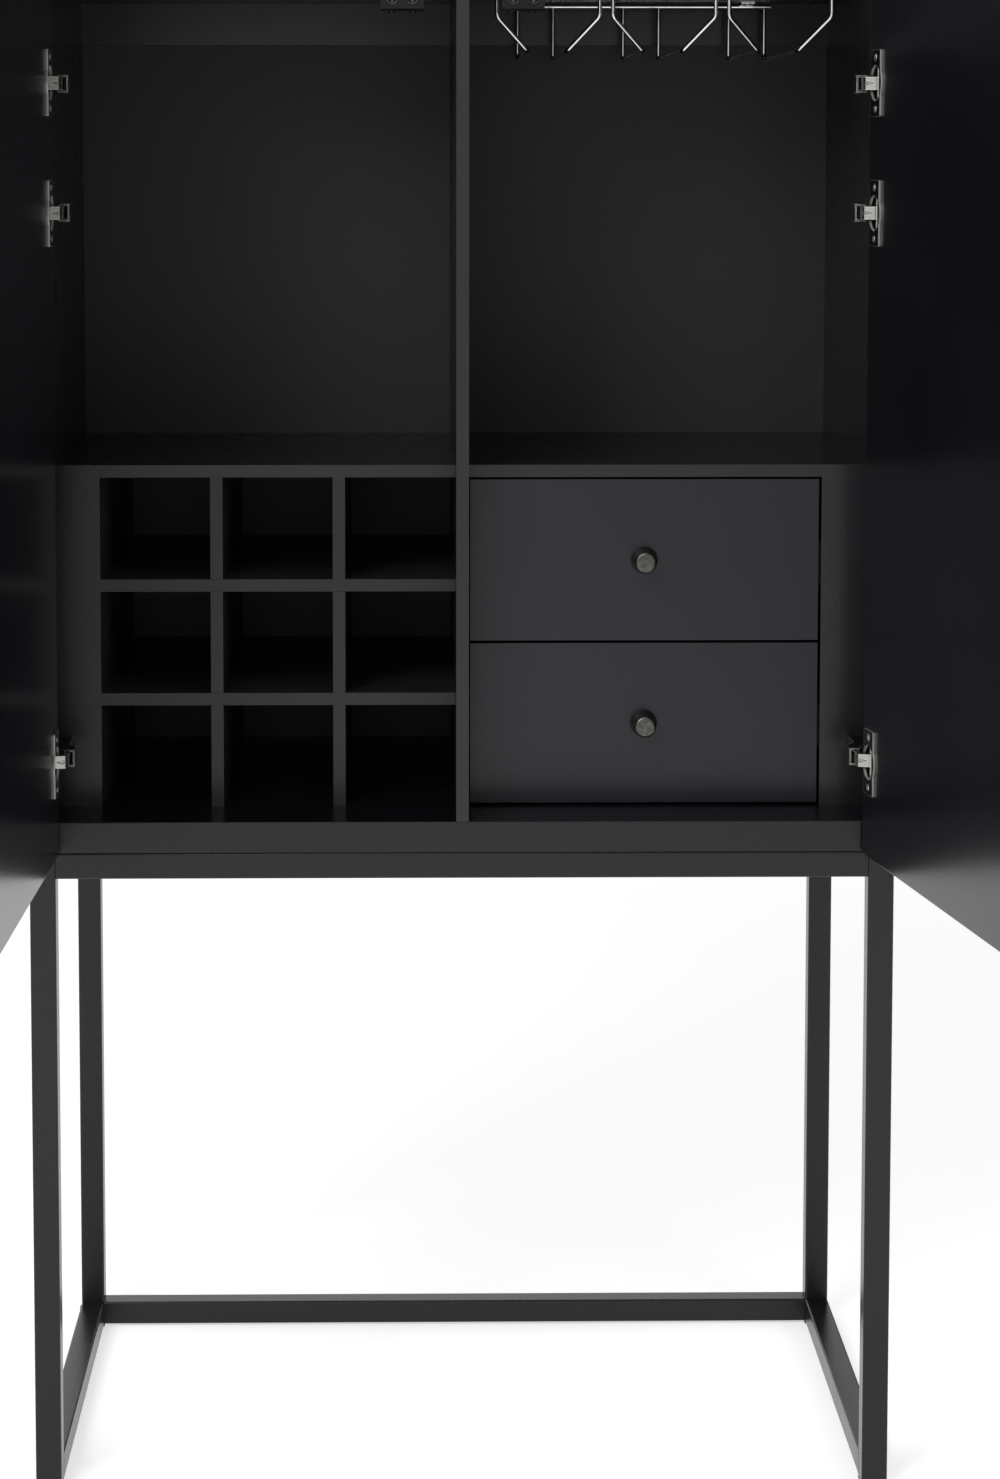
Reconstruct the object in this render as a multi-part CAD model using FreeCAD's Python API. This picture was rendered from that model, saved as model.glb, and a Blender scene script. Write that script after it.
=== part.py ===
import FreeCAD, Part
import math
import os

# Bar cabinet on a steel tube frame: two doors, a bottle rack, two drawers and a stemware rack.
# Millimetres. +Z is up and the front faces -Y. The origin is on the floor, in the middle of the
# carcass. Doors are drawn shut and then swung open to the angles below.

# Overall sizes
overall_width = 830.0
overall_depth = 480.0  # carcass and frame, without the doors
carcass_height = 860.0
frame_height = 630.0  # floor to the underside of the carcass

# Boards
board = 12.0  # sides, partition, shelves, dividers and drawer fronts
end_board = 30.0  # top and bottom boards
back_board = 8.0
inner_setback = 80.0  # shelves, rack and drawers stand this far behind the carcass front
lower_height = 324.0  # clear height between the bottom board and the shelves
filler_width = 51.0  # strips beside the rack and the drawers, which keep them clear of the hinges
back_rail_height = 44.0
back_rail_depth = 12.0
edge_round = 1.0  # rounded edges of the boards that show

# Steel frame
tube = 25.0
tube_wall = 1.5
tube_round = 2.0
glide_height = 3.0
plug_length = 15.0  # rail plugs reach this far into the rails
glide_plug = 8.0  # glides reach this far into the legs, below the rear floor rail's bolts
plug_clearance = 0.1
frame_bolt = 6.0
bolt_clearance = 0.2
bolt_head_width = 11.0
bolt_head_height = 3.0
bolt_head_round = 1.0
carcass_screw = 5.0
carcass_screw_grip = 18.0  # length in the bottom board
carcass_screw_head = 9.0
carcass_screw_inset = 90.0  # from the front and rear faces of the frame
tool_hole = 12.0  # access hole below each carcass screw

# Bottle rack
rack_columns = 3
rack_rows = 3
slot_clearance = 0.2  # each side of a board in a halved joint

# Drawers
drawer_count = 2
drawer_gap = 2.0
drawer_box_height = 112.0
drawer_box_depth = 350.0
drawer_bottom = 6.0
drawer_bottom_rise = 10.0
runner_room = 13.0  # width between a drawer side and the wall beside it
runner_height = 42.0
runner_wall = 1.5
runner_lip = 10.0
runner_clearance = 0.3
runner_rise = 30.0  # lower edge of the runner above the drawer side's lower edge
knob_base = 26.5
knob_face = 20.5
knob_length = 25.0
knob_round = 3.0
knob_screw = 4.0
knob_screw_head = 8.0
knob_screw_head_height = 2.4
knob_screw_grip = 12.0

# Doors
door_thickness = 20.0
door_gap = 2.5  # between a shut door and the carcass
meeting_gap = 3.0  # between the two shut doors
left_open = 91.0  # degrees
right_open = 98.5
hinge_from_bottom = 92.0
hinge_from_top = 127.0
hinge_pair_pitch = 121.0  # between the two upper hinges

# Concealed hinges
cup_width = 35.0
cup_depth = 12.5
cup_wall = 1.0
cup_rim = 5.0  # wood left between the cup and the door's edge
cup_clearance = 0.1
flange_length = 62.0
flange_width = 30.0
flange_thickness = 2.0
flange_round = 2.0
cup_screw_pitch = 48.0
cup_screw = 3.5
cup_screw_grip = 10.0
cup_screw_sink = 1.2  # heads let into the flange
screw_head = 7.0
screw_head_height = 1.8
pin_width = 3.0
pin_clearance = 0.05
cup_pin_inset = 13.5  # from the door's edge
cup_pin_depth = 4.0  # below the door's inner face
arm_pin_off = 27.0  # from the side panel's inner face
arm_pin_back = 4.5  # behind the carcass front
link_ratio = 0.4  # link turn against the door's turn
link_height = 12.0
link_thickness = 4.4
link_eye_arm = 6.4
link_eye_cup = 5.6
knee_ahead = 10.0  # knee of the link, past the cup pin
knee_clearance = 0.6
drop_width = 4.4  # drop-shaped recess in the link's face
drop_length = 6.5
drop_depth = 1.2
drop_ahead = 1.2  # round end of the recess, past the knee
sheet = 1.5
cheek_clearance = 0.5
arm_front = 0.8
arm_length = 74.0
arm_nose = 12.8  # straight part of the arm's nose behind its pin
arm_chin = 4.5  # cheeks of the nose below its pin
arm_flat_ahead = 2.0  # flat part of the arm ahead of the plate's boss
arm_slope_ahead = 4.0  # cheeks rise from the arm's foot this far ahead of the flat part
web_ease = 0.4  # keeps the sloping part of the web as thick as the rest
web_hole = 6.0
arm_back_height = 24.0  # arm's back part above the side panel
arm_foot = 5.0  # lower edge of the arm above the side panel
plate_thickness = 3.0
plate_screw_back = 37.0
plate_screw_pitch = 32.0
plate_screw = 4.0
plate_screw_grip = 9.0
plate_wing_width = 18.0
plate_wing_length = 52.0
boss_start = 36.0
boss_end = 66.0
boss_clearance = 0.3
arm_screw = 5.0
arm_screw_head = 8.0
arm_screw_grip = 12.0

# Push latches under the top board
latch_width = 40.0
latch_height = 27.0
latch_depth = 42.0
latch_front = 1.5
latch_from_middle = 57.0
plunger_width = 13.0
plunger_clearance = 0.08
plunger_pitch = 19.0
plunger_length = 25.0
plunger_rise = 9.5  # middle of a plunger above its case's lower face
plunger_tip = 0.8  # ahead of the carcass front
plunger_bore = 31.0
plunger_chamfer = 0.5
strike_length = 36.0
strike_width = 14.0
strike_thickness = 1.2
latch_screw = 3.5
latch_screw_grip = 14.0

# Stemware rack
wire = 4.5
stem_channels = 3
stem_pitch = 113.0
stem_gap = 38.0  # between the wires' middles
stem_mouth = 100.0
stem_drop = 62.0  # channel wires below the top board
stem_rear_inset = 42.0  # rear risers ahead of the back panel
stem_run = 300.0
flare_rise = 33.0
flare_ahead = 22.0
stem_bend = 8.0
join_bend = 5.85  # bends that join two neighbouring wires over the top
stem_shift = -6.5  # rack's middle from the compartment's middle
tab_length = 24.0
tab_width = 14.0
tab_thickness = 2.0
tab_screw = 3.5
tab_screw_grip = 14.0

# Cutters reach this far past what they cut
past = 1.0

# Places that several pieces share
front = -overall_depth / 2
rear = overall_depth / 2
half = overall_width / 2
inner_half = half - board
carcass_low = frame_height
floor_top = carcass_low + end_board
carcass_top = carcass_low + carcass_height
ceiling = carcass_top - end_board
back_face = rear - back_board
inner_front = front + inner_setback
shelf_low = floor_top + lower_height
shelf_top = shelf_low + board
side_wall = inner_half - filler_width  # rack's and drawers' outer wall, from the middle
mid = board / 2  # half the partition
hinge_levels = (
    carcass_low + hinge_from_bottom,
    carcass_top - hinge_from_top - hinge_pair_pitch,
    carcass_top - hinge_from_top,
)
arm_pin = (-inner_half + arm_pin_off, front + arm_pin_back)
cup_pin = (-half + cup_pin_inset, front - door_gap - cup_pin_depth)
cup_middle = -half + cup_rim + cup_width / 2
door_inner = front - door_gap
door_length = half - meeting_gap / 2

X = FreeCAD.Vector(1, 0, 0)
Y = FreeCAD.Vector(0, 1, 0)
Z = FreeCAD.Vector(0, 0, 1)


def vec(x, y, z):
    return FreeCAD.Vector(x, y, z)


def block(x0, x1, y0, y1, z0, z1):
    """A box between two corners."""
    return Part.makeBox(x1 - x0, y1 - y0, z1 - z0, vec(x0, y0, z0))


def rod(start, axis, width, length):
    """A round bar of a diameter and length from a point."""
    return Part.makeCylinder(width / 2, length, start, axis)


def prism(points, z0, z1):
    """A plan outline raised between two levels."""
    corners = [vec(x, y, z0) for x, y in points]
    wire_loop = Part.makePolygon(corners + corners[:1])
    return Part.Face(wire_loop).extrude(vec(0, 0, z1 - z0))


def rounded(shape, radius):
    """Every edge of a plain block rounded."""
    return shape.makeFillet(radius, shape.Edges)


def mirrored(shape):
    """The same piece on the other side of the middle."""
    return shape.mirror(vec(0, 0, 0), X)


def both_sides(shapes):
    """Pieces of the left side and their mirror images."""
    return shapes + [mirrored(s) for s in shapes]


def write(name, shapes):
    """One node's file, from one solid or a group of them."""
    pieces = shapes if isinstance(shapes, list) else [shapes]
    whole = Part.makeCompound(pieces) if len(pieces) > 1 else pieces[0]
    whole.exportStep("parts/" + name + ".step")


def square_tube(axis, x0, x1, y0, y1, z0, z1):
    """A hollow square tube that fills a box, open at both ends along its axis."""
    outer = block(x0, x1, y0, y1, z0, z1)
    along = [e for e in outer.Edges if abs(abs(e.tangentAt(e.FirstParameter).dot(axis)) - 1) < 1e-6]
    outer = outer.makeFillet(tube_round, along)
    wall = [0.0 if abs(axis.dot(a)) > 0.5 else tube_wall for a in (X, Y, Z)]
    inner = block(x0 + wall[0], x1 - wall[0], y0 + wall[1], y1 - wall[1], z0 + wall[2], z1 - wall[2])
    return outer.cut(inner)


# Steel frame

rail_levels = (frame_height - tube / 2, glide_height + tube / 2)


def leg(at_front):
    """A left leg with the holes for its rails' bolts."""
    y0 = front if at_front else rear - tube
    shape = square_tube(Z, -half, -half + tube, y0, y0 + tube, glide_height, frame_height)
    levels = rail_levels[:1] if at_front else rail_levels
    hole = frame_bolt + 2 * bolt_clearance
    for z in levels:
        shape = shape.cut(rod(vec(-half - past, y0 + tube / 2, z), X, hole, tube + 2 * past))
    return shape


def side_rail(level, screwed):
    """A left rail between the front and rear legs, with the screw holes of a top rail."""
    shape = square_tube(
        Y, -half, -half + tube, front + tube, rear - tube, level - tube / 2, level + tube / 2
    )
    if screwed:
        for y in carcass_screw_places():
            at = vec(-half + tube / 2, y, level)
            shape = shape.cut(rod(at, Z, carcass_screw + 2 * bolt_clearance, tube))
            shape = shape.cut(rod(at, -Z, tool_hole, tube))
    return shape


def cross_rail(at_front, level):
    """A rail from the left legs to the right legs."""
    y0 = front if at_front else rear - tube
    return square_tube(
        X, -half + tube, half - tube, y0, y0 + tube, level - tube / 2, level + tube / 2
    )


def carcass_screw_places():
    return (front + carcass_screw_inset, rear - carcass_screw_inset)


def glide(at_front):
    """A foot plate with a plug that fits in a left leg."""
    y0 = front if at_front else rear - tube
    room = tube_wall + plug_clearance
    plate = block(-half, -half + tube, y0, y0 + tube, 0, glide_height)
    plug = block(
        -half + room, -half + tube - room, y0 + room, y0 + tube - room,
        glide_height, glide_height + glide_plug,
    )
    return plate.fuse(plug).removeSplitter()


def rail_bolt(at_front, level):
    """A bolt through a left leg into its rail's plug, with the head outside."""
    y = front + tube / 2 if at_front else rear - tube / 2
    head = rod(vec(-half - bolt_head_height, y, level), X, bolt_head_width, bolt_head_height)
    outer_edge = [e for e in head.Edges if abs(e.CenterOfMass.x + half + bolt_head_height) < 1e-6]
    head = head.makeFillet(bolt_head_round, outer_edge)
    shank = rod(vec(-half, y, level), X, frame_bolt, tube + plug_length - past)
    return head.fuse(shank).removeSplitter()


def rail_plug(at_front, level):
    """A threaded plug in the left end of a cross rail."""
    y = front + tube / 2 if at_front else rear - tube / 2
    width = tube / 2 - tube_wall - plug_clearance
    x0 = -half + tube
    body = block(x0, x0 + plug_length, y - width, y + width, level - width, level + width)
    return body.cut(rod(vec(x0 - past, y, level), X, frame_bolt, plug_length + 2 * past))


def carcass_fixing(y):
    """A screw up through a left top rail into the bottom board, with its head in the tube."""
    x = -half + tube / 2
    under = frame_height - tube_wall
    head = rod(vec(x, y, under), -Z, carcass_screw_head, bolt_head_height)
    shank = rod(vec(x, y, under), Z, carcass_screw, tube_wall + carcass_screw_grip)
    return head.fuse(shank).removeSplitter()


def make_frame():
    top_level, floor_level = rail_levels
    joints = ((True, top_level), (False, top_level), (False, floor_level))
    write("front_legs", both_sides([leg(True)]))
    write("rear_legs", both_sides([leg(False)]))
    write("side_top_rails", both_sides([side_rail(top_level, True)]))
    write("side_floor_rails", both_sides([side_rail(floor_level, False)]))
    write("front_top_rail", cross_rail(True, top_level))
    write("rear_top_rail", cross_rail(False, top_level))
    write("rear_floor_rail", cross_rail(False, floor_level))
    write("leg_glides", both_sides([glide(True), glide(False)]))
    write("frame_bolts", both_sides([rail_bolt(f, z) for f, z in joints]))
    write("rail_plugs", both_sides([rail_plug(f, z) for f, z in joints]))
    write("carcass_screws", both_sides([carcass_fixing(y) for y in carcass_screw_places()]))


# Carcass

def bottom_board():
    shape = rounded(block(-half, half, front, rear, carcass_low, floor_top), edge_round)
    for x in (-half + tube / 2, half - tube / 2):
        for y in carcass_screw_places():
            shape = shape.cut(rod(vec(x, y, carcass_low), Z, carcass_screw, carcass_screw_grip))
    return shape


def top_board():
    shape = rounded(block(-half, half, front, rear, ceiling, carcass_top), edge_round)
    for at in latch_screw_places():
        shape = shape.cut(rod(at, Z, latch_screw, latch_screw_grip))
    for at in tab_screw_places():
        shape = shape.cut(rod(at, Z, tab_screw, tab_screw_grip))
    return shape


def side_panel():
    """The left side, with the holes of the hinge plates' screws."""
    shape = block(-half, -inner_half, front, rear, floor_top, ceiling)
    for level in hinge_levels:
        for z in (level - plate_screw_pitch / 2, level + plate_screw_pitch / 2):
            at = vec(-inner_half, front + plate_screw_back, z)
            shape = shape.cut(rod(at, -X, plate_screw, plate_screw_grip))
    return shape


def rack_upright(index):
    """A vertical divider, slotted from the front half way back for the rack's shelves."""
    x = -side_wall + index * bay_width() + (index - 1) * board
    shape = block(x, x + board, inner_front, back_face, floor_top, shelf_low)
    half_way = (inner_front + back_face) / 2
    for z in rack_shelf_levels():
        slot = block(
            x - past, x + board + past, inner_front - past, half_way,
            z - slot_clearance, z + board + slot_clearance,
        )
        shape = shape.cut(slot)
    return shape


def rack_shelf(z):
    """A horizontal divider, slotted from the rear half way forward for the uprights."""
    shape = block(-side_wall, -mid, inner_front, back_face, z, z + board)
    half_way = (inner_front + back_face) / 2
    for index in range(1, rack_columns):
        x = -side_wall + index * bay_width() + (index - 1) * board
        slot = block(
            x - slot_clearance, x + board + slot_clearance, half_way, back_face + past,
            z - past, z + board + past,
        )
        shape = shape.cut(slot)
    return shape


def bay_width():
    return (side_wall - mid - (rack_columns - 1) * board) / rack_columns


def rack_shelf_levels():
    bay = (lower_height - (rack_rows - 1) * board) / rack_rows
    return [floor_top + n * bay + (n - 1) * board for n in range(1, rack_rows)]


def make_carcass():
    write("bottom_board", bottom_board())
    write("top_board", top_board())
    write("left_side_panel", side_panel())
    write("right_side_panel", mirrored(side_panel()))
    write("back_panel", block(-inner_half, inner_half, back_face, rear, floor_top, ceiling))
    write("partition", block(-mid, mid, front, back_face, floor_top, ceiling))
    shelf = block(-inner_half, -mid, inner_front, back_face, shelf_low, shelf_top)
    write("left_shelf", shelf)
    write("right_shelf", mirrored(shelf))
    rail_low = ceiling - back_rail_height
    rail = block(-inner_half, -mid, back_face - back_rail_depth, back_face, rail_low, ceiling)
    write("back_rails", both_sides([rail]))
    strip = block(-inner_half, -side_wall, inner_front, inner_front + board, floor_top, shelf_low)
    write("filler_strips", both_sides([strip]))
    wall = block(-side_wall - board, -side_wall, inner_front + board, back_face, floor_top, shelf_low)
    write("rack_outer_wall", wall)
    write("drawer_outer_wall", mirrored(wall))
    write("rack_uprights", [rack_upright(n) for n in range(1, rack_columns)])
    write("rack_shelves", [rack_shelf(z) for z in rack_shelf_levels()])


# Drawers

drawer_front_height = (lower_height - (drawer_count + 1) * drawer_gap) / drawer_count
drawer_left = mid + drawer_gap
drawer_right = side_wall - drawer_gap
drawer_middle = (mid + side_wall) / 2
box_left = mid + runner_room
box_right = side_wall - runner_room
box_front = inner_front + board
box_rear = box_front + drawer_box_depth


def drawer_low(index):
    """Lower edge of a drawer front, counted from the bottom."""
    return floor_top + drawer_gap + index * (drawer_front_height + drawer_gap)


def box_low(index):
    """Lower edge of a drawer's sides, in the middle of its front's height."""
    return drawer_low(index) + (drawer_front_height - drawer_box_height) / 2


def knob_level(index):
    return drawer_low(index) + drawer_front_height / 2


def drawer_front(index):
    low = drawer_low(index)
    shape = block(drawer_left, drawer_right, inner_front, box_front, low, low + drawer_front_height)
    shape = rounded(shape, edge_round)
    return shape.cut(rod(vec(drawer_middle, inner_front, knob_level(index)), Y, knob_screw, board))


def drawer_walls(index):
    """Two sides and a back, grooved for the bottom."""
    low = box_low(index)
    high = low + drawer_box_height
    left = block(box_left, box_left + board, box_front, box_rear, low, high)
    right = block(box_right - board, box_right, box_front, box_rear, low, high)
    back = block(box_left + board, box_right - board, box_rear - board, box_rear, low, high)
    groove = drawer_floor(index)
    return [left.cut(groove), right.cut(groove), back.cut(groove)]


def drawer_floor(index):
    """The bottom, let half way into the sides and the back."""
    low = box_low(index) + drawer_bottom_rise
    sink = board / 2
    return block(
        box_left + sink, box_right - sink, box_front, box_rear - sink, low, low + drawer_bottom
    )


def knob(index):
    """A turned knob, wider at the drawer front, with its screw's hole."""
    at = vec(drawer_middle, inner_front, knob_level(index))
    body = Part.makeCone(knob_base / 2, knob_face / 2, knob_length, at, -Y)
    rim = [e for e in body.Edges if abs(e.CenterOfMass.y - at.y + knob_length) < 1e-6]
    body = body.makeFillet(knob_round, rim)
    return body.cut(rod(at, -Y, knob_screw, knob_screw_grip))


def knob_fixing(index):
    """The knob's screw, with its head inside the drawer."""
    at = vec(drawer_middle, box_front, knob_level(index))
    head = rod(at, Y, knob_screw_head, knob_screw_head_height)
    shank = rod(at, -Y, knob_screw, board + knob_screw_grip)
    return head.fuse(shank).removeSplitter()


def runner_low(index):
    return box_low(index) + runner_rise


def fixed_runner(index):
    """The channel on the partition, open towards the drawer."""
    low = runner_low(index)
    outer = block(mid, mid + runner_lip, box_front, box_rear, low, low + runner_height)
    room = block(
        mid + runner_wall, mid + runner_lip + past, box_front - past, box_rear + past,
        low + runner_wall, low + runner_height - runner_wall,
    )
    return outer.cut(room)


def sliding_runner(index):
    """The bar on the drawer's side, which runs in the channel."""
    gap = runner_wall + runner_clearance
    low = runner_low(index)
    return block(
        mid + gap, box_left, box_front, box_rear, low + gap, low + runner_height - gap
    )


def across_drawer(shape):
    """The same piece on the other side of the drawer."""
    return shape.mirror(vec(drawer_middle, 0, 0), X)


def make_drawers():
    channels = []
    for index, name in enumerate(("lower_drawer", "upper_drawer")):
        write(name + "_front", drawer_front(index))
        write(name + "_walls", drawer_walls(index))
        write(name + "_bottom", drawer_floor(index))
        write(name + "_knob", [knob(index), knob_fixing(index)])
        bar = sliding_runner(index)
        write(name + "_slides", [bar, across_drawer(bar)])
        channel = fixed_runner(index)
        channels += [channel, across_drawer(channel)]
    write("drawer_channels", channels)


# Doors and hinges

def swing_link(shape, opened):
    """A left link turned with a door that is opened by some degrees."""
    moved = shape.copy()
    moved.rotate(vec(arm_pin[0], arm_pin[1], 0), Z, link_ratio * opened)
    return moved


def swing_door(shape, opened):
    """A piece of the left door, carried by the links' cup pins and turned open."""
    turn = math.radians(link_ratio * opened)
    dx = cup_pin[0] - arm_pin[0]
    dy = cup_pin[1] - arm_pin[1]
    pin_x = arm_pin[0] + dx * math.cos(turn) - dy * math.sin(turn)
    pin_y = arm_pin[1] + dx * math.sin(turn) + dy * math.cos(turn)
    moved = shape.copy()
    moved.translate(vec(pin_x - cup_pin[0], pin_y - cup_pin[1], 0))
    moved.rotate(vec(pin_x, pin_y, 0), Z, -opened)
    return moved


def door_panel():
    """The shut left door, bored for its cups, their screws and the strike's screw."""
    shape = block(
        -half, -half + door_length, door_inner - door_thickness, door_inner, carcass_low, carcass_top
    )
    shape = rounded(shape, edge_round)
    for level in hinge_levels:
        bore = cup_width + 2 * cup_clearance
        shape = shape.cut(rod(vec(cup_middle, door_inner, level), -Y, bore, cup_depth + cup_clearance))
        for z in cup_screw_levels(level):
            shape = shape.cut(rod(vec(cup_middle, door_inner, z), -Y, cup_screw, cup_screw_grip))
    at = vec(-latch_from_middle, door_inner, plunger_level())
    return shape.cut(rod(at, -Y, cup_screw, cup_screw_grip))


def cup_screw_levels(level):
    return (level - cup_screw_pitch / 2, level + cup_screw_pitch / 2)


def cup(level):
    """A flanged cup in the shut left door, with holes for its pin and its screws."""
    at = vec(cup_middle, door_inner, level)
    side = flange_width / 2
    flange = block(
        cup_middle - side, cup_middle + side, door_inner, door_inner + flange_thickness,
        level - flange_length / 2, level + flange_length / 2,
    )
    upright = [e for e in flange.Edges if abs(abs(e.tangentAt(e.FirstParameter).dot(Y)) - 1) < 1e-6]
    flange = flange.makeFillet(flange_round, upright)
    flange = flange.fuse(rod(at, Y, cup_width + 2 * cup_wall, flange_thickness))
    body = flange.fuse(rod(at, -Y, cup_width, cup_depth))
    room = cup_width - 2 * cup_wall
    mouth = vec(cup_middle, door_inner + flange_thickness + past, level)
    body = body.cut(rod(mouth, -Y, room, cup_depth + flange_thickness + past - cup_wall))
    through = rod(vec(cup_pin[0], cup_pin[1], level - cup_width), Z, pin_width, 2 * cup_width)
    body = body.cut(through)
    for z in cup_screw_levels(level):
        under = vec(cup_middle, door_inner - past, z)
        body = body.cut(rod(under, Y, cup_screw, flange_thickness + 2 * past))
        sunk = vec(cup_middle, cup_screw_seat(), z)
        body = body.cut(rod(sunk, Y, screw_head + 2 * cup_clearance, cup_screw_sink + past))
    return body


def cup_screw_seat():
    return door_inner + flange_thickness - cup_screw_sink


def cup_pin_piece(level):
    """The pin in the cup's walls that the link turns on."""
    offset = cup_middle - cup_pin[0] + pin_width / 2
    reach = math.sqrt((cup_width / 2) ** 2 - offset ** 2)
    return rod(vec(cup_pin[0], cup_pin[1], level - reach), Z, pin_width, 2 * reach)


def cup_fixing(z):
    seat = cup_screw_seat()
    head = rod(vec(cup_middle, seat, z), Y, screw_head, screw_head_height)
    shank = rod(vec(cup_middle, seat, z), -Y, cup_screw, seat - door_inner + cup_screw_grip)
    return head.fuse(shank).removeSplitter()


def bar_between(a, b, width, level):
    """A flat bar with round ends between two points in plan."""
    low = level - link_height / 2
    length = math.hypot(b[0] - a[0], b[1] - a[1])
    middle = Part.makeBox(length, width, link_height, vec(0, -width / 2, 0))
    middle.rotate(vec(0, 0, 0), Z, math.degrees(math.atan2(b[1] - a[1], b[0] - a[0])))
    middle.translate(vec(a[0], a[1], low))
    ends = [rod(vec(p[0], p[1], low), Z, width, link_height) for p in (a, b)]
    return middle.fuse(ends)


def link(level):
    """A cranked link of the shut left door, from the arm's pin into the cup."""
    floor = door_inner - cup_depth + cup_wall
    knee = (cup_pin[0] + knee_ahead, floor + knee_clearance + link_thickness / 2)
    low = level - link_height / 2
    shape = bar_between(arm_pin, knee, link_thickness, level)
    shape = shape.fuse(bar_between(knee, cup_pin, link_thickness, level))
    shape = shape.fuse(rod(vec(arm_pin[0], arm_pin[1], low), Z, link_eye_arm, link_height))
    shape = shape.fuse(rod(vec(cup_pin[0], cup_pin[1], low), Z, link_eye_cup, link_height))
    shape = shape.removeSplitter()
    for pin in (arm_pin, cup_pin):
        hole = pin_width + 2 * pin_clearance
        shape = shape.cut(rod(vec(pin[0], pin[1], low - past), Z, hole, link_height + 2 * past))
    return shape.cut(drop_recess(knee, level))


def drop_recess(knee, level):
    """What is pressed into the link's face: round by the knee and pointed towards the cup's pin."""
    along = vec(cup_pin[0] - knee[0], cup_pin[1] - knee[1], 0).normalize()
    outward = Z.cross(along)
    middle = vec(knee[0], knee[1], level) + along * drop_ahead
    floor = middle + outward * (link_thickness / 2 - drop_depth)
    corners = [Z * (drop_width / 2), along * drop_length, Z * (-drop_width / 2)]
    corners = [floor + c for c in corners]
    point = Part.Face(Part.makePolygon(corners + corners[:1])).extrude(outward * (drop_depth + past))
    return rod(floor, outward, drop_width, drop_depth + past).fuse(point)


def arm_outline():
    """Levels of the arm's web above the side panel: inside of the nose and inside of the back part."""
    nose = arm_pin_off + link_eye_arm / 2 + cheek_clearance
    return nose, arm_back_height - sheet


def arm(level):
    """A bent channel on the left side panel, open towards the panel, with its pin's hole."""
    nose, flat = arm_outline()
    x = -inner_half
    nose_end = front + arm_pin_back + arm_nose
    flat_start = front + boss_start - arm_flat_ahead
    rear_end = front + arm_length
    tip = front + arm_front
    low_nose = x + arm_pin_off - arm_chin
    outline = [
        (x + nose + sheet, tip), (x + nose + sheet, nose_end), (x + flat + sheet, flat_start),
        (x + flat + sheet, rear_end), (x + arm_foot, rear_end),
        (x + arm_foot, flat_start - arm_slope_ahead),
        (low_nose, front + arm_pin_back + arm_chin), (low_nose, tip),
    ]
    room = [
        (x + nose, tip - past), (x + nose, nose_end - web_ease), (x + flat, flat_start - web_ease),
        (x + flat, rear_end + past), (x, rear_end + past), (x, tip - past),
    ]
    inside = link_height / 2 + cheek_clearance
    shape = prism(outline, level - inside - sheet, level + inside + sheet)
    shape = shape.cut(prism(room, level - inside, level + inside))
    shape = shape.cut(rod(vec(arm_pin[0], arm_pin[1], level - 2 * inside), Z, pin_width, 4 * inside))
    at = vec(x, front + arm_screw_back(), level)
    shape = shape.cut(rod(at, X, arm_screw + 2 * bolt_clearance, arm_pin_off + 2 * sheet))
    opening = vec(x + flat, (nose_end + flat_start) / 2, level)
    return shape.cut(rod(opening, X, web_hole, arm_pin_off))


def arm_screw_back():
    return (boss_start + boss_end) / 2


def arm_pin_piece(level):
    reach = link_height / 2 + cheek_clearance + sheet
    return rod(vec(arm_pin[0], arm_pin[1], level - reach), Z, pin_width, 2 * reach)


def hinge_plate(level):
    """A plate on the left side panel, with wings for two screws and a boss inside the arm."""
    x = -inner_half
    wing = plate_wing_width / 2
    back = front + plate_screw_back
    wings = block(
        x, x + plate_thickness, back - wing, back + wing,
        level - plate_wing_length / 2, level + plate_wing_length / 2,
    )
    width = link_height / 2 + cheek_clearance - boss_clearance
    spine = block(
        x, x + plate_thickness, back - wing, front + boss_end, level - width, level + width
    )
    boss = block(
        x, x + arm_outline()[1], front + boss_start, front + boss_end, level - width, level + width
    )
    shape = wings.fuse([spine, boss]).removeSplitter()
    for z in (level - plate_screw_pitch / 2, level + plate_screw_pitch / 2):
        shape = shape.cut(rod(vec(x - past, back, z), X, plate_screw, plate_thickness + 2 * past))
    top = vec(x + arm_outline()[1], front + arm_screw_back(), level)
    return shape.cut(rod(top, -X, arm_screw, arm_screw_grip))


def plate_fixing(z):
    at = vec(-inner_half + plate_thickness, front + plate_screw_back, z)
    head = rod(at, X, screw_head, screw_head_height)
    shank = rod(at, -X, plate_screw, plate_thickness + plate_screw_grip)
    return head.fuse(shank).removeSplitter()


def arm_fixing(level):
    at = vec(-inner_half + arm_back_height, front + arm_screw_back(), level)
    head = rod(at, X, arm_screw_head, screw_head_height)
    shank = rod(at, -X, arm_screw, sheet + arm_screw_grip)
    return head.fuse(shank).removeSplitter()


def hinge_fixings(level):
    pair = [plate_fixing(level - plate_screw_pitch / 2), plate_fixing(level + plate_screw_pitch / 2)]
    return pair + [arm_fixing(level)]


def strike():
    """A steel plate on the shut left door, opposite the plungers, with its screw's hole."""
    z = plunger_level()
    shape = block(
        -latch_from_middle - strike_length / 2, -latch_from_middle + strike_length / 2,
        door_inner, door_inner + strike_thickness, z - strike_width / 2, z + strike_width / 2,
    )
    at = vec(-latch_from_middle, door_inner - past, z)
    return shape.cut(rod(at, Y, cup_screw, strike_thickness + 2 * past))


def strike_fixing():
    """A screw flush with the strike."""
    at = vec(-latch_from_middle, door_inner + strike_thickness, plunger_level())
    return rod(at, -Y, cup_screw, strike_thickness + cup_screw_grip)


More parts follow.
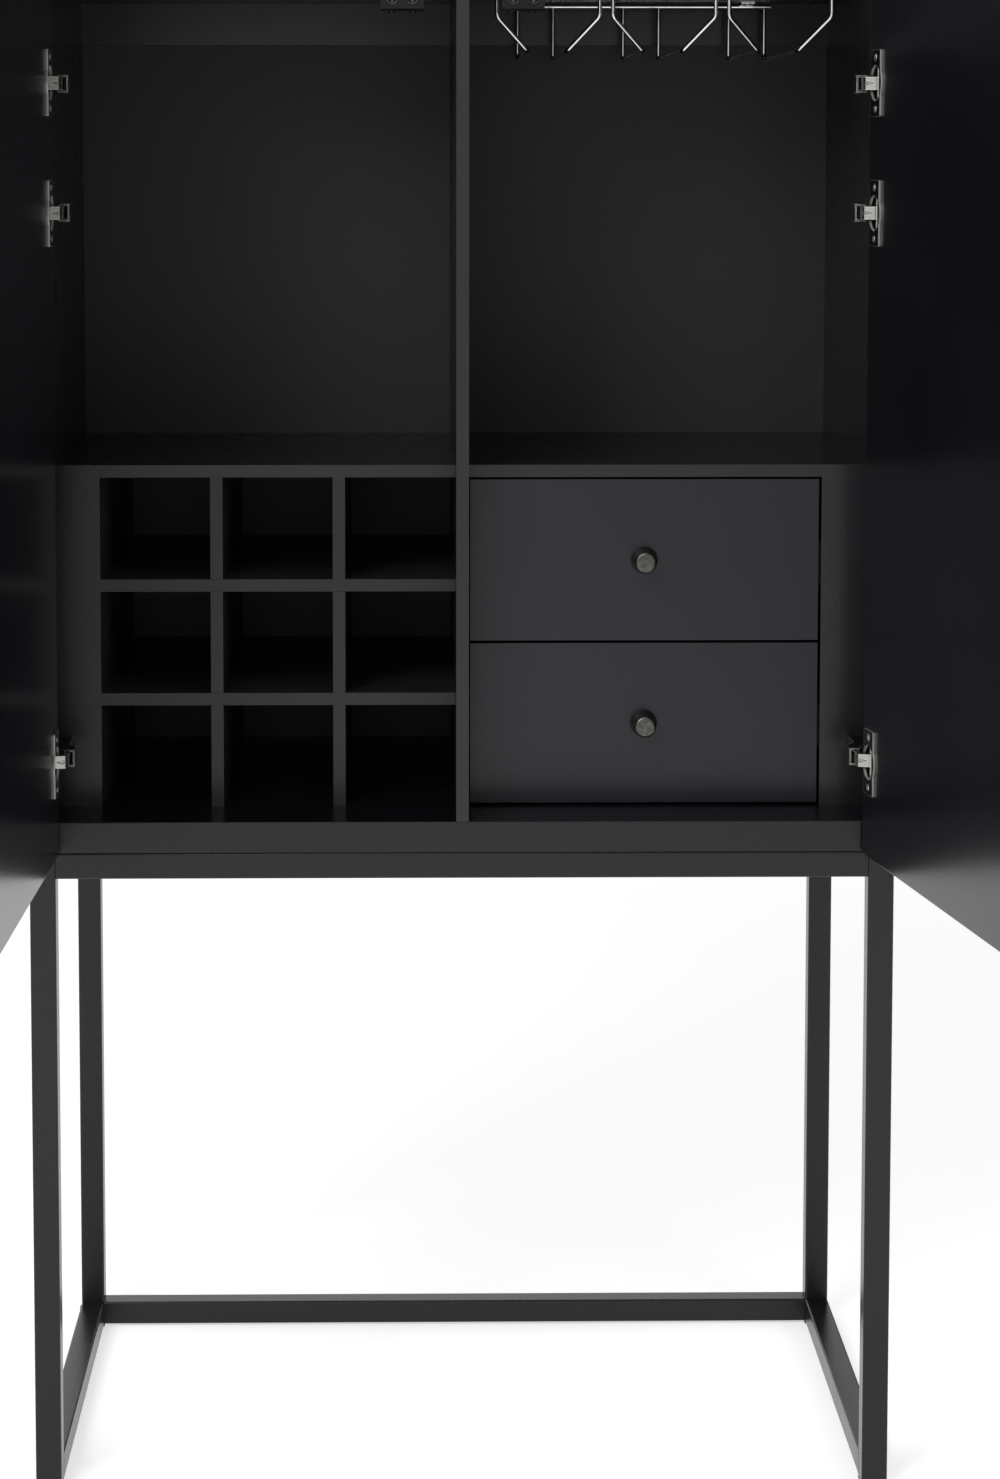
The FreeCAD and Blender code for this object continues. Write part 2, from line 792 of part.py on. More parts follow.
def make_doors():
    cup_levels = [z for level in hinge_levels for z in cup_screw_levels(level)]
    screws = [cup_fixing(z) for z in cup_levels] + [strike_fixing()]
    pieces = {
        "door_panel": [door_panel()],
        "door_cups": [cup(level) for level in hinge_levels],
        "door_cup_pins": [cup_pin_piece(level) for level in hinge_levels],
        "door_screws": screws,
        "door_strike": [strike()],
    }
    links = [link(level) for level in hinge_levels]
    for name, shapes in pieces.items():
        write("left_" + name, [swing_door(s, left_open) for s in shapes])
        write("right_" + name, [mirrored(swing_door(s, right_open)) for s in shapes])
    write("left_hinge_links", [swing_link(s, left_open) for s in links])
    write("right_hinge_links", [mirrored(swing_link(s, right_open)) for s in links])
    write("hinge_arms", both_sides([arm(level) for level in hinge_levels]))
    write("hinge_arm_pins", both_sides([arm_pin_piece(level) for level in hinge_levels]))
    write("hinge_plates", both_sides([hinge_plate(level) for level in hinge_levels]))
    write("hinge_screws", both_sides([s for level in hinge_levels for s in hinge_fixings(level)]))


# Push latches

def plunger_level():
    return ceiling - latch_height + plunger_rise


def plunger_places():
    """The two plungers of the left latch, the outer one first."""
    return (-latch_from_middle - plunger_pitch / 2, -latch_from_middle + plunger_pitch / 2)


def latch_screw_places():
    """Starts of the latches' screw holes, two for each latch."""
    y = front + latch_front + (plunger_bore + latch_depth) / 2
    places = []
    for side in (-1, 1):
        for step in (-latch_width / 4, latch_width / 4):
            places.append(vec(side * latch_from_middle + step, y, ceiling))
    return places


def latch_housing():
    """The left latch's case, with a blind bore for each plunger and its screws' holes."""
    y0 = front + latch_front
    side = latch_width / 2
    shape = block(
        -latch_from_middle - side, -latch_from_middle + side, y0, y0 + latch_depth,
        ceiling - latch_height, ceiling,
    )
    low = [e for e in shape.Edges if abs(e.CenterOfMass.z - ceiling + latch_height) < 1e-6]
    shape = shape.makeFillet(edge_round, low)
    for x in plunger_places():
        bore = plunger_width + 2 * plunger_clearance
        shape = shape.cut(rod(vec(x, y0 - past, plunger_level()), Y, bore, plunger_bore + past))
    for at in latch_screw_places():
        shape = shape.cut(rod(at, -Z, latch_screw, latch_height))
    return shape


def plunger(x):
    """A sprung plunger at its outer end of travel."""
    body = rod(vec(x, front - plunger_tip, plunger_level()), Y, plunger_width, plunger_length)
    rims = [e for e in body.Edges if e.Curve.TypeId == "Part::GeomCircle"]
    return body.makeChamfer(plunger_chamfer, rims)


def latch_fixing(at):
    start = at - Z * latch_height
    head = rod(start, -Z, screw_head, screw_head_height)
    shank = rod(start, Z, latch_screw, latch_height + latch_screw_grip)
    return head.fuse(shank).removeSplitter()


def make_latches():
    write("latch_housings", both_sides([latch_housing()]))
    outer, inner = [plunger(x) for x in plunger_places()]
    write("left_outer_plunger", outer)
    write("left_inner_plunger", inner)
    write("right_outer_plunger", mirrored(outer))
    write("right_inner_plunger", mirrored(inner))
    write("latch_screws", [latch_fixing(at) for at in latch_screw_places()])


# Stemware rack

stem_middle = (mid + inner_half) / 2 + stem_shift
stem_rear = back_face - stem_rear_inset
stem_front = stem_rear - stem_run
stem_level = ceiling - stem_drop
stem_bar_level = ceiling - tab_thickness - wire / 2


def bent_wire(points, bend, name):
    """A round wire along straight runs with an arc at each corner."""
    edges = []
    start = points[0]
    for before, corner, after in zip(points, points[1:], points[2:]):
        inward = (before - corner).normalize()
        onward = (after - corner).normalize()
        opening = inward.getAngle(onward)
        reach = bend / math.tan(opening / 2)
        first = corner + inward * reach
        last = corner + onward * reach
        middle = corner + (inward + onward).normalize() * (bend / math.sin(opening / 2) - bend)
        edges.append(Part.LineSegment(start, first).toShape())
        edges.append(Part.Arc(first, middle, last).toShape())
        start = last
    edges.append(Part.LineSegment(start, points[-1]).toShape())
    path = Part.Wire(edges)
    along = (points[1] - points[0]).normalize()
    loop = Part.Wire([Part.makeCircle(wire / 2, points[0], along)])
    shape = path.makePipeShell([loop], True, False)
    expected = math.pi * wire * wire / 4 * path.Length
    print(name, "volume over section times length", round(shape.Volume / expected, 4))
    return shape


def channel_middle(index):
    return stem_middle + (index - (stem_channels - 1) / 2) * stem_pitch


def stem_side(index, side):
    """Corners of one channel wire from its rear riser to the top of its flare."""
    inner = channel_middle(index) + side * stem_gap / 2
    outer = channel_middle(index) + side * stem_mouth / 2
    ahead = stem_front - flare_ahead
    return [
        vec(inner, stem_rear, stem_bar_level - wire / 2),
        vec(inner, stem_rear, stem_level),
        vec(inner, stem_front, stem_level),
        vec(outer, ahead, stem_level + flare_rise),
        vec(outer, ahead, stem_bar_level),
    ]


def stem_wires():
    """The outermost wires, and one wire for each pair of neighbours, joined over the top in front."""
    shapes = []
    for index, side in ((0, -1), (stem_channels - 1, 1)):
        path = stem_side(index, side)
        foot = path[-1] + vec(0, tab_length, 0)
        shapes.append(bent_wire(path + [foot], stem_bend, "outer wire"))
    for index in range(stem_channels - 1):
        out = stem_side(index, 1)
        back = stem_side(index + 1, -1)
        shapes.append(bent_wire(out + back[::-1], join_bend, "joined wire"))
    first = channel_middle(0) - stem_gap / 2 - tab_width / 2
    last = channel_middle(stem_channels - 1) + stem_gap / 2 + tab_width / 2
    bar = rod(vec(first, stem_rear, stem_bar_level), X, wire, last - first)
    return shapes + [bar]


def tab_places():
    """Where the wires meet their tabs, and which way each tab reaches from its wire to its screw."""
    ahead = stem_front - flare_ahead + tab_length / 2
    left = channel_middle(0)
    right = channel_middle(stem_channels - 1)
    rear_tabs = [(left, stem_rear, -Y), (right, stem_rear, -Y)]
    front_tabs = [(left - stem_mouth / 2, ahead, X), (right + stem_mouth / 2, ahead, -X)]
    return rear_tabs + front_tabs


def tab_screw_places():
    """Starts of the tabs' screw holes in the top board."""
    return [vec(x, y, ceiling) + reach * (tab_length / 2) for x, y, reach in tab_places()]


def stem_tab(x, y, reach):
    """A flat tab against the top board, welded on the wire below it."""
    middle = vec(x, y, ceiling) + reach * (tab_length / 4)
    along = abs(reach.x) > abs(reach.y)
    dx = (tab_length if along else tab_width) / 2
    dy = (tab_width if along else tab_length) / 2
    shape = block(
        middle.x - dx, middle.x + dx, middle.y - dy, middle.y + dy, ceiling - tab_thickness, ceiling
    )
    at = vec(x, y, ceiling + past) + reach * (tab_length / 2)
    return shape.cut(rod(at, -Z, tab_screw, tab_thickness + 2 * past))


def tab_fixing(at):
    start = at - Z * tab_thickness
    head = rod(start, -Z, screw_head, screw_head_height)
    shank = rod(start, Z, tab_screw, tab_thickness + tab_screw_grip)
    return head.fuse(shank).removeSplitter()


def make_stemware_rack():
    write("stemware_rack", stem_wires())
    tabs = [stem_tab(x, y, reach) for x, y, reach in tab_places()]
    write("stemware_tabs", tabs + [tab_fixing(at) for at in tab_screw_places()])


def main():
    os.makedirs("parts", exist_ok=True)
    make_frame()
    make_carcass()
    make_drawers()
    make_doors()
    make_latches()
    make_stemware_rack()


main()
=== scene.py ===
import math

import bmesh
import bpy
import numpy as np
from bpy.props import FloatProperty, FloatVectorProperty, IntProperty, PointerProperty
from mathutils import Matrix, Vector


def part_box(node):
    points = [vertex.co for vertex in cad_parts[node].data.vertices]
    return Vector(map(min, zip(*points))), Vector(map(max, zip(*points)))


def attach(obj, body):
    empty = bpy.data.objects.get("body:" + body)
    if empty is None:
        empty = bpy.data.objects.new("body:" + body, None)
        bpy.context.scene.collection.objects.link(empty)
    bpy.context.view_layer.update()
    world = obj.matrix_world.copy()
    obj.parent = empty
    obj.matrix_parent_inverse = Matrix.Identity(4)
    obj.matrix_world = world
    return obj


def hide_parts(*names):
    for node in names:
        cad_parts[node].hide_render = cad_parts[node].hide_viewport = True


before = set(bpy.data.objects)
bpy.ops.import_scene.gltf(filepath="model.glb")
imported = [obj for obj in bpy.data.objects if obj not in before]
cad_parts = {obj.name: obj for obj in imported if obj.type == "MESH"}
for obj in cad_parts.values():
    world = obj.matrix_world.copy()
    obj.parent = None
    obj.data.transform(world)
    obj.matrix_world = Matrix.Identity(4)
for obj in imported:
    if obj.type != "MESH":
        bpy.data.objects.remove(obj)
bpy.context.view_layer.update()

bl_info = {
    "name": "Bar cabinet",
    "version": (1, 0, 0),
    "blender": (4, 5, 0),
    "location": "3D View > Sidebar > Cabinet",
    "description": "Finishes, screws and stage of a black bar cabinet on a steel frame",
    "category": "Add Mesh",
}

# Pieces of the cabinet, in groups that are finished together
CARCASS = (
    "left_side_panel", "right_side_panel", "partition", "left_shelf", "right_shelf",
    "filler_strips", "drawer_outer_wall", "back_rails",
)
END_BOARDS = ("top_board", "bottom_board")
BACK = ("back_panel",)
RACK = ("rack_shelves", "rack_uprights", "rack_outer_wall")
DOORS = ("left_door_panel", "right_door_panel")
STRIKES = ("left_door_strike", "right_door_strike")
DRAWER_FRONTS = ("upper_drawer_front", "lower_drawer_front")
DRAWER_BOXES = (
    "upper_drawer_walls", "upper_drawer_bottom", "lower_drawer_walls", "lower_drawer_bottom",
)
RUNNERS = ("drawer_channels", "upper_drawer_slides", "lower_drawer_slides")
KNOBS = ("upper_drawer_knob", "lower_drawer_knob")
HINGE_ARMS = ("hinge_arms", "hinge_plates")
HINGE_LINKS = ("left_hinge_links", "right_hinge_links")
HINGE_CUPS = ("left_door_cups", "right_door_cups")
HINGE_PINS = ("hinge_arm_pins", "left_door_cup_pins", "right_door_cup_pins")
LATCH_CASES = ("latch_housings",)
PLUNGERS = (
    "left_outer_plunger", "left_inner_plunger", "right_inner_plunger", "right_outer_plunger",
)
STEMWARE = ("stemware_rack", "stemware_tabs")
TUBES = (
    "front_legs", "rear_legs", "front_top_rail", "rear_top_rail", "side_top_rails",
    "side_floor_rails", "rear_floor_rail",
)
PLUGS = ("leg_glides", "rail_plugs")
HIDDEN_SCREWS = ("carcass_screws",)


# Sizes and colours that can be changed

def colour(name, description, default):
    return FloatVectorProperty(
        name=name, description=description, subtype="COLOR", size=3, min=0.0, max=1.0,
        default=default,
    )


def share(name, description, default):
    return FloatProperty(
        name=name, description=description, subtype="FACTOR", min=0.0, max=1.0, default=default,
    )


def length(name, description, default):
    return FloatProperty(
        name=name, description=description, unit="LENGTH", min=0.0, default=default, precision=5,
    )


def angle(name, description, degrees):
    return FloatProperty(
        name=name, description=description, subtype="ANGLE", default=math.radians(degrees),
    )


def power(name, description, default):
    return FloatProperty(
        name=name, description=description, unit="POWER", min=0.0, default=default,
    )


class CabinetFinish(bpy.types.PropertyGroup):
    """Colours and sheen of the cabinet's finishes"""

    lacquer: colour(
        "Lacquer", "Satin lacquer on the end boards and doors", (0.0055, 0.0053, 0.0074),
    )
    board_lacquer: colour(
        "Board lacquer", "Satin lacquer on the inner boards", (0.0095, 0.0092, 0.0112),
    )
    drawer_lacquer: colour(
        "Drawer lacquer", "Satin lacquer of the drawer fronts", (0.0056, 0.0050, 0.0098),
    )
    back_lacquer: colour(
        "Back lacquer", "Paint of the thin back panel", (0.0135, 0.0132, 0.0152),
    )
    # painted light: a paler copy of the black lacquer, so that the rack's deep shaded cells read
    # lighter
    rack_lacquer_painted_light: colour(
        "Rack lacquer", "Satin lacquer on the bottle rack", (0.0180, 0.0178, 0.0195),
    )
    lacquer_roughness: share("Lacquer roughness", "Roughness of the satin lacquer", 0.27)
    back_roughness: share("Back roughness", "Roughness of the thin back panel's paint", 0.48)
    rack_roughness: share("Rack roughness", "Roughness of the bottle rack's lacquer", 0.32)
    door_roughness: share("Door roughness", "Roughness of the doors' lacquer", 0.24)
    drawer_roughness: share("Drawer roughness", "Roughness of the drawer fronts' lacquer", 0.31)
    lacquer_gloss: share("Lacquer gloss", "Strength of the lacquer's reflections", 0.42)
    end_gloss: share("End gloss", "Strength of the doors' and end boards' reflections", 0.35)
    rack_gloss: share("Rack gloss", "Strength of the bottle rack's reflections", 0.31)
    drawer_paint: colour("Drawer paint", "Matt paint inside the drawers", (0.008, 0.008, 0.0085))
    paint_roughness: share("Paint roughness", "Roughness of the paint inside the drawers", 0.52)
    powder_coat: colour("Powder coat", "Coating of the steel tubes", (0.0042, 0.0042, 0.0052))
    coat_roughness: share("Coat roughness", "Roughness of the powder coat", 0.27)
    coat_gloss: share("Coat gloss", "Strength of the powder coat's reflections", 0.36)
    bare_edge: colour(
        "Worn edge", "Lacquer and coating where edges are rubbed", (0.030, 0.029, 0.029),
    )
    edge_wear: share("Edge wear", "How far the edges are rubbed", 0.45)
    nickel: colour("Nickel", "Plating of the hinges' links", (0.40, 0.39, 0.365))
    cup_nickel: colour("Cup nickel", "Plating of the hinges' cups", (0.20, 0.195, 0.185))
    # painted shade: the arms' nickel is darkened to stand in for the shade they sit in
    shaded_arm_nickel: colour("Dark nickel", "Plating of the hinges' arms", (0.055, 0.054, 0.051))
    # painted highlight: a pale colour on the hinges' edges that stands in for the light they catch
    painted_highlight_rim: colour("Bright rim", "Plating on the edges of the hinges", (0.74, 0.73, 0.70))
    # painted shade: a dark colour laid into the hinges' recesses and corners where shade falls
    hollow_shade: colour("Hollow shade", "Painted shade in the hollows of the hinges", (0.012, 0.011, 0.010))
    zinc: colour("Zinc", "Plating of the strikes and screws", (0.56, 0.575, 0.60))
    chrome: colour("Chrome", "Plating of the stemware wires", (0.74, 0.75, 0.77))
    gunmetal: colour("Gunmetal", "Turned drawer knobs", (0.115, 0.115, 0.105))
    plunger: colour("Plunger steel", "Turned latch plungers", (0.060, 0.060, 0.062))
    plastic: colour("Plastic", "Moulded latch cases, plugs and glides", (0.0055, 0.0055, 0.006))
    # painted highlight: a paler colour on the plastic's edges that stands in for the light they
    # catch
    plastic_edge_highlight: colour("Plastic edge", "Edges of moulded plastic", (0.05, 0.05, 0.052))
    plastic_roughness: share("Plastic roughness", "Roughness of the plastic", 0.42)
    plastic_gloss: share("Plastic gloss", "Strength of the plastic's reflections", 0.16)
    black_oxide: colour("Black oxide", "Blackened bolts and screws", (0.030, 0.030, 0.033))
    oxide_roughness: share("Oxide roughness", "Roughness of the blackened bolts", 0.4)
    rubbed_steel: colour("Rubbed steel", "Bolts where a key has rubbed", (0.25, 0.25, 0.25))


class CabinetFitting(bpy.types.PropertyGroup):
    """Sizes of the screws, bolts and plungers"""

    sides: IntProperty(
        name="Sides", description="Sides of a round screw head", min=12, max=96, default=32,
    )
    cross_length: share("Cross length", "Length of a cross recess against its head", 0.58)
    cross_width: share("Cross width", "Width of a cross recess against its length", 0.24)
    cross_depth: length("Cross depth", "Depth of a cross recess", 0.0013)
    socket_width: share("Socket width", "Width of a bolt's socket against its head", 0.46)
    socket_depth: length("Socket depth", "Depth of a bolt's socket", 0.0022)
    flush_head: length("Flush head", "Depth of a head that has no rim of its own", 0.0012)
    flange: length("Flange", "Thickness of a hinge cup's flange", 0.002)
    plunger_sides: IntProperty(
        name="Plunger sides", description="Sides of a round plunger", min=16, max=128, default=48,
    )


class CabinetStage(bpy.types.PropertyGroup):
    """Camera, light and floor"""

    place: FloatVectorProperty(
        name="Camera", description="Place of the camera", subtype="TRANSLATION", size=3,
        default=(-0.0544, -3.3327, 1.2844),
    )
    turn: angle("Turn", "Turn of the camera to the right", 0.754)
    tilt: angle("Tilt", "Tilt of the camera below the horizon", 4.822)
    lens: FloatProperty(
        name="Lens", description="Focal length of the lens", unit="CAMERA", default=79.63,
    )
    drop: FloatProperty(
        name="Drop", description="Lens shift that keeps the uprights upright", default=-0.2,
    )
    slide: FloatProperty(
        name="Slide", description="Sideways lens shift of the picture's frame", default=0.035,
    )
    sky: FloatProperty(name="Sky", description="Light from all round", min=0.0, default=0.45)
    key: power("Key", "Power of the large lamp", 90.0)
    fill: power("Fill", "Power of the side lamp", 28.0)
    lamp_size: length("Lamp size", "Width of each lamp", 1.8)
    floor: length("Floor", "Width of the floor", 40.0)
    floor_colour: colour("Floor colour", "Paint of the floor", (0.80, 0.80, 0.80))
    floor_glow: share("Floor glow", "What the floor adds to its own picture", 0.57)
    flag: share("Flag", "Brightness of the dark screen at the front right in reflections", 0.05)


# Shader nodes

class Shade:
    """A socket of a node tree. Arithmetic on it adds Math nodes, and node() any other node."""

    def __init__(self, tree, socket=None):
        self.tree = tree
        self.socket = socket

    def node(self, kind, settings=None, sockets=None, output=0):
        """Adds a node of this type, with its settings first and then its sockets."""
        made = self.tree.nodes.new(kind)
        for key, value in (settings or {}).items():
            setattr(made, key, value)
        for key, value in (sockets or {}).items():
            if isinstance(value, Shade):
                self.tree.links.new(value.socket, made.inputs[key])
            else:
                made.inputs[key].default_value = value
        return Shade(self.tree, made.outputs[output] if made.outputs else None)

    def beside(self, output):
        """Another output of the same node."""
        return Shade(self.tree, self.socket.node.outputs[output])

    def maths(self, operation, first, second):
        return self.node("ShaderNodeMath", {"operation": operation}, {0: first, 1: second})

    def vector(self, operation, first, second, output=0):
        return self.node(
            "ShaderNodeVectorMath", {"operation": operation}, {0: first, 1: second}, output,
        )

    def mix(self, amount, first, second):
        """A colour between two colours."""
        settings = {"data_type": "RGBA", "clamp_factor": True}
        colours = [c if isinstance(c, Shade) else (*c, 1.0) for c in (first, second)]
        sockets = {0: amount, 6: colours[0], 7: colours[1]}
        return self.node("ShaderNodeMix", settings, sockets, 2)

    def __add__(self, other):
        return self.maths("ADD", self, other)

    def __radd__(self, other):
        return self.maths("ADD", other, self)

    def __sub__(self, other):
        return self.maths("SUBTRACT", self, other)

    def __rsub__(self, other):
        return self.maths("SUBTRACT", other, self)

    def __mul__(self, other):
        return self.maths("MULTIPLY", self, other)

    def __rmul__(self, other):
        return self.maths("MULTIPLY", other, self)

    def __truediv__(self, other):
        return self.maths("DIVIDE", self, other)

    def __rtruediv__(self, other):
        return self.maths("DIVIDE", other, self)

    def __pow__(self, other):
        return self.maths("POWER", self, other)

    def __rpow__(self, other):
        return self.maths("POWER", other, self)


MIDDLE = 0.5
NORMAL_DIGITS = 3
SAME_WAY = 0.99
SHEET_MARGIN = 1.3


def begin(name):
    """A new material and the start of its node tree."""
    material = bpy.data.materials.new(name)
    material.use_nodes = True
    material.node_tree.nodes.clear()
    return material, Shade(material.node_tree)


def place_on(start, stretch=(1.0, 1.0, 1.0)):
    """The place on a piece in metres, with each direction stretched."""
    place = start.node("ShaderNodeTexCoord", output="Object")
    return start.vector("MULTIPLY", place, stretch)


def spots(place, size, detail):
    """Cloudy noise with spots about this large, in metres, around its middle."""
    sockets = {"Vector": place, "Scale": 1.0 / size, "Detail": detail}
    return place.node("ShaderNodeTexNoise", {"noise_dimensions": "3D"}, sockets)


def swing(value, width):
    """How far a noise is from its middle, as a swing of this width about 0."""
    return width * (value - MIDDLE)


def blend(first, second, amount):
    """A value between two values."""
    return first * (1.0 - amount) + second * amount


def ramp(value, low, high):
    """0 below low, 1 above high and smooth between."""
    settings = {"interpolation_type": "SMOOTHSTEP", "clamp": True}
    return value.node("ShaderNodeMapRange", settings, {0: value, 1: low, 2: high, 3: 0.0, 4: 1.0})


def toned(tint, factor):
    """A colour made paler or darker."""
    return tuple(c * factor for c in tint)


def edges(start, reach):
    """1 on the edges of a piece and 0 on its flats."""
    rounded = start.node("ShaderNodeBevel", {"samples": 4}, {"Radius": reach})
    flat = start.node("ShaderNodeNewGeometry", output="True Normal")
    along = start.vector("DOT_PRODUCT", rounded, flat, "Value")
    return ramp(1.0 - along, low=0.01, high=0.22)


def largest_flat(node):
    """The way a CAD node's largest flat toward the middle looks, and its level that way."""
    faces = [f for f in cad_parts[node].data.polygons if f.normal.x * f.center.x < 0]
    areas = {}
    for face in faces:
        key = tuple(round(c, NORMAL_DIGITS) for c in face.normal)
        areas[key] = areas.get(key, 0.0) + face.area
    facing = max(areas, key=areas.get)
    along = Vector(facing)
    return facing, max(f.center.dot(along) for f in faces if f.normal.dot(along) > SAME_WAY)


def sheet_edges(start, facing, level, thickness):
    """1 on the cut edges of a sheet whose face looks this way at this level, and 0 elsewhere."""
    normal = start.node("ShaderNodeTexCoord", output="Normal")
    along = start.vector("DOT_PRODUCT", normal, facing, "Value")
    depth = level - start.vector("DOT_PRODUCT", place_on(start), facing, "Value")
    cut = 1.0 - ramp(along * along, low=0.1, high=0.3)
    return cut * (1.0 - ramp(depth, low=thickness, high=thickness * SHEET_MARGIN))


def hollows(start, reach):
    """1 deep in corners and recesses and 0 on open faces."""
    clear = start.node("ShaderNodeAmbientOcclusion", {"samples": 6}, {"Distance": reach}, "AO")
    return 1.0 - ramp(clear, low=0.35, high=0.95)


def complete(start, base, roughness, height, depth, plain=None):
    """The surface itself, with a relief of this depth in metres."""
    relief = start.node("ShaderNodeBump", None, {"Height": height, "Distance": depth})
    sockets = {"Base Color": base, "Roughness": roughness, "Normal": relief}
    sockets.update(plain or {})
    skin = start.node("ShaderNodeBsdfPrincipled", None, sockets)
    start.node("ShaderNodeOutputMaterial", None, {"Surface": skin})


# Finishes

# What rubbed patches and bright rims add to the roughness
RUB_DULLING = 0.12
RIM_DULLING = 0.28
# How far the clouds and scratches of a plating darken it, and sway its roughness
CLOUD_DARKENING, STREAK_DARKENING = 0.6, 0.25
CLOUD_SWAY, STREAK_SWAY = 0.5, 0.35
# How far the painted shade in the hollows and the painted highlights on plastic edges hide what is
# under them
HOLLOW_SHADE_COVER = 0.92
EDGE_HIGHLIGHT_COVER = 0.7
SCREW_GRAIN = {"cloud": 0.002, "scratch": 0.0005}


def lacquer(name, finish, tint, roughness, gloss):
    """Satin black lacquer sprayed on board: orange peel, faint clouds and rubbed edges."""
    material, start = begin(name)
    place = place_on(start)
    clouds = spots(place, size=0.22, detail=3.0)
    peel = spots(place, size=0.0034, detail=1.5)
    dust = spots(place, size=0.0011, detail=1.0)
    patches = ramp(spots(place, size=0.03, detail=4.0), low=0.38, high=0.66)
    rubbed = edges(start, reach=0.0016) * patches * finish.edge_wear
    base = start.mix(ramp(clouds, low=0.3, high=0.7), tuple(tint), toned(tint, factor=1.35))
    base = start.mix(rubbed, base, tuple(finish.bare_edge))
    sheen = roughness + swing(clouds, width=0.07) + swing(dust, width=0.05) + RUB_DULLING * rubbed
    relief = blend(peel, dust, amount=0.2)
    complete(start, base, sheen, relief, depth=0.00007, plain={"Specular IOR Level": gloss})
    return material


def drawer_paint(name, finish):
    """Matt paint inside the drawers, with the board's fibres showing through."""
    material, start = begin(name)
    fibres = spots(place_on(start, stretch=(1.0, 0.08, 1.0)), size=0.0012, detail=3.0)
    clouds = spots(place_on(start), size=0.08, detail=3.0)
    tint = tuple(finish.drawer_paint)
    base = start.mix(fibres, tint, toned(tint, factor=1.5))
    sheen = finish.paint_roughness + swing(clouds, width=0.12) + swing(fibres, width=0.08)
    complete(start, base, sheen, fibres, depth=0.00012)
    return material


def powder_coat(name, finish):
    """Fine-textured black powder coat on steel tube, rubbed on the corners."""
    material, start = begin(name)
    place = place_on(start)
    clouds = spots(place, size=0.12, detail=3.0)
    powder = spots(place, size=0.0009, detail=2.0)
    patches = ramp(spots(place, size=0.02, detail=4.0), low=0.4, high=0.7)
    rubbed = edges(start, reach=0.0022) * patches * finish.edge_wear
    tint = tuple(finish.powder_coat)
    base = start.mix(clouds, tint, toned(tint, factor=1.4))
    base = start.mix(rubbed, base, tuple(finish.bare_edge))
    sheen = finish.coat_roughness + swing(clouds, width=0.08) + swing(powder, width=0.10)
    plain = {"Specular IOR Level": finish.coat_gloss}
    complete(start, base, sheen, powder, depth=0.0001, plain=plain)
    return material


def plated(name, tint, roughness, cloud, scratch, painted_rim_and_shade=None, sheet=None):
    """Plated metal: cloudy plating, fine scratches, and where asked painted highlights on the rims
    and painted shade in the hollows.
    """
    material, start = begin(name)
    clouds = spots(place_on(start), size=cloud, detail=4.0)
    streaks = spots(place_on(start, stretch=(1.0, 1.0, 0.06)), size=scratch, detail=3.0)
    dulled = ramp(clouds, low=0.3, high=0.75) * CLOUD_DARKENING + streaks * STREAK_DARKENING
    base = start.mix(dulled, tuple(tint), toned(tint, factor=0.78))
    sheen = roughness + swing(clouds, width=CLOUD_SWAY * roughness)
    sheen = sheen + swing(streaks, width=STREAK_SWAY * roughness)
    if painted_rim_and_shade:
        rim, hollow_shade = painted_rim_and_shade
        bright = edges(start, reach=0.0011)
        if sheet:
            bright = start.maths("MAXIMUM", bright, sheet_edges(start, *sheet))
        # painted highlight: the edges and cut edges of the sheet take a pale colour
        base = start.mix(bright, base, rim)
        # painted shade: the colour darkens in recesses and corners that ambient occlusion finds
        base = start.mix(hollows(start, reach=0.004) * HOLLOW_SHADE_COVER, base, hollow_shade)
        sheen = sheen + RIM_DULLING * bright
    relief = blend(streaks, clouds, amount=0.4)
    complete(start, base, sheen, relief, depth=0.00002, plain={"Metallic": 1.0})
    return material


def turned(name, node, tint, roughness, ring):
    """Metal turned about the Y direction, with fine rings left by the tool."""
    material, start = begin(name)
    low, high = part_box(node)
    place = start.node("ShaderNodeTexCoord", output="Object")
    off = start.vector("SUBTRACT", place, tuple((low + high) / 2))
    across = start.node("ShaderNodeSeparateXYZ", None, {0: off}, "X")
    along, up = across.beside("Y"), across.beside("Z")
    radius = (across * across + up * up) ** 0.5
    cut = start.node(
        "ShaderNodeTexNoise", {"noise_dimensions": "1D"},
        {"W": (radius + along) / ring, "Scale": 1.0, "Detail": 2.0},
    )
    clouds = spots(place_on(start), size=0.005, detail=3.0)
    dents = ramp(clouds, low=0.36, high=0.64)
    base = start.mix(blend(cut, dents, amount=0.65), tuple(tint), toned(tint, factor=0.55))
    sheen = roughness + swing(cut, width=0.14) + swing(dents, width=0.12)
    relief = blend(cut, clouds, amount=0.8)
    complete(start, base, sheen, relief, depth=0.00012, plain={"Metallic": 1.0})
    return material


def moulded(name, finish):
    """Black moulded plastic with a fine spark-eroded skin, and painted highlights on its edges."""
    material, start = begin(name)
    place = place_on(start)
    skin = spots(place, size=0.0006, detail=2.0)
    clouds = spots(place, size=0.02, detail=3.0)
    tint = tuple(finish.plastic)
    base = start.mix(clouds, tint, toned(tint, factor=1.8))
    # painted highlight: the edges take a paler colour
    base = start.mix(edges(start, reach=0.0008) * EDGE_HIGHLIGHT_COVER, base, tuple(finish.plastic_edge_highlight))
    sheen = finish.plastic_roughness + swing(clouds, width=0.12) + swing(skin, width=0.1)
    plain = {"Specular IOR Level": finish.plastic_gloss}
    complete(start, base, sheen, skin, depth=0.00006, plain=plain)
    return material


